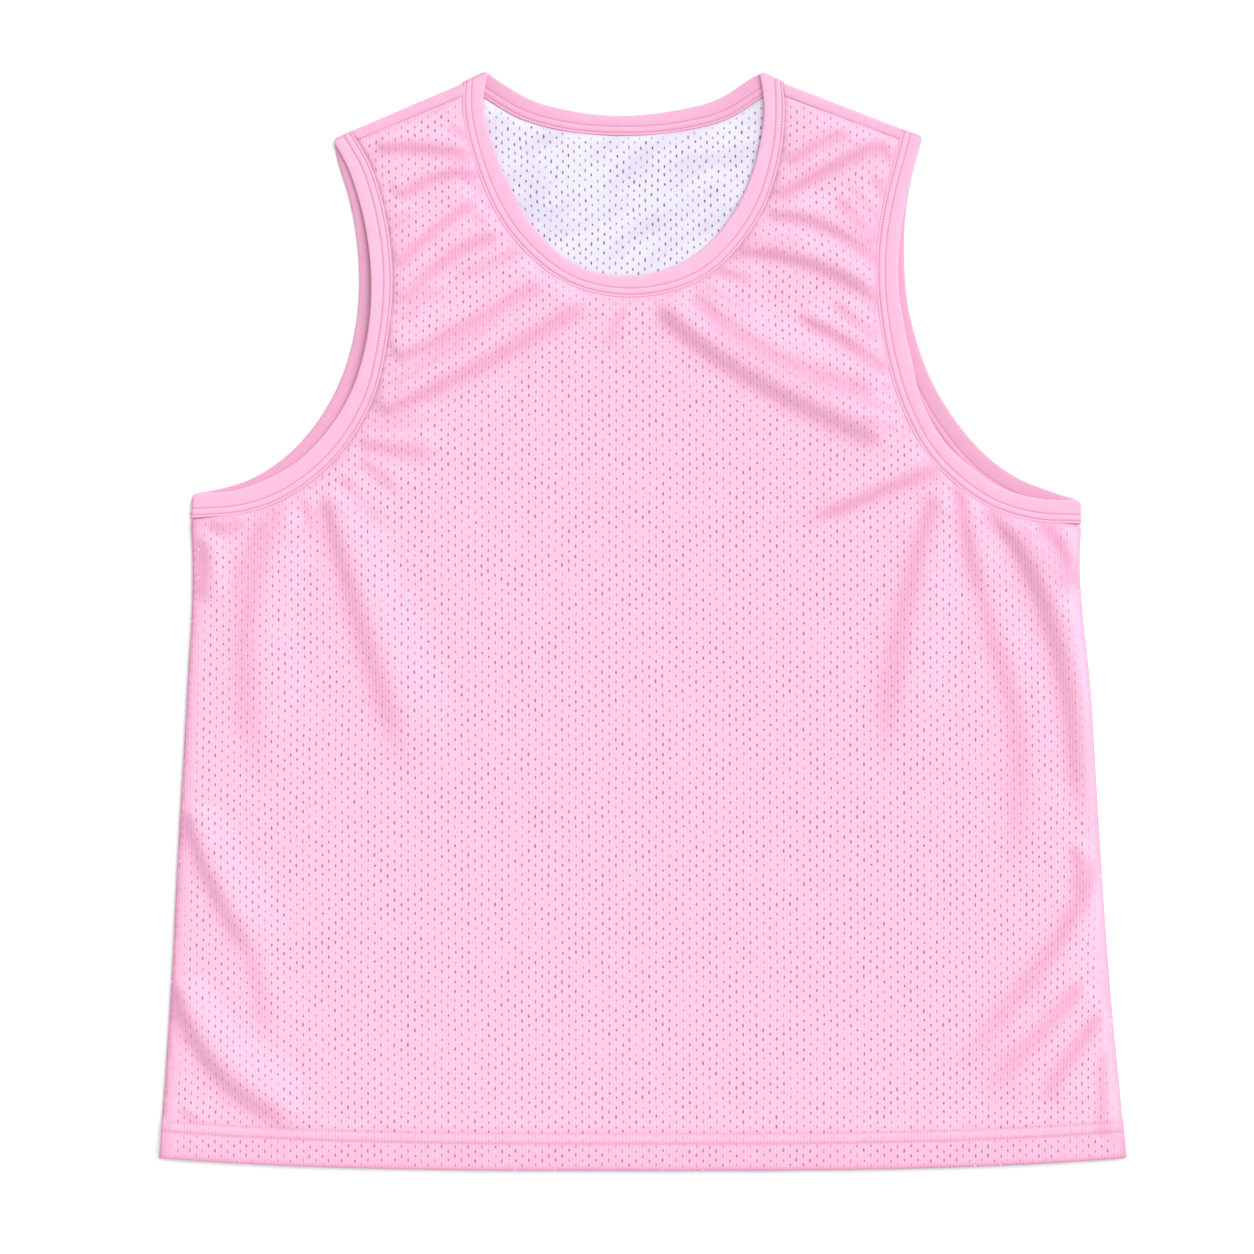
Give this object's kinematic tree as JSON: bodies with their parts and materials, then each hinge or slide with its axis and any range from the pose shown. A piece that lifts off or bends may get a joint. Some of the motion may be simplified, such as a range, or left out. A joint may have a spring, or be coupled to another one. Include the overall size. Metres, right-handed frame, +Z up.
{
  "type": "sleeveless sports jersey",
  "caption": "Loose sleeveless mesh jersey laid flat front up, with a bound round neck, bound armholes and a straight hem; worn for team sports.",
  "frame": {"origin": "on the surface the jersey lies on, under the middle of its outline box", "axes": "+Z up, away from that surface; +Y from the hem to the neck; +X to the right of a viewer who looks down at the front"},
  "size_m": [0.6274, 0.7139, 0.0109],
  "materials": {
    "mesh_knit": "soft polyester mesh knit, pink face",
    "rib_knit": "smooth fine rib knit binding",
    "shoulder_tape": "smooth knit tape"
  },
  "bodies": {
    "root": {"back_panel": "mesh_knit", "front_panel": "mesh_knit", "neckband": "rib_knit", "armband_left": "rib_knit", "armband_right": "rib_knit", "shoulder_strip_left": "shoulder_tape", "shoulder_strip_right": "shoulder_tape"}
  },
  "joints": []
}
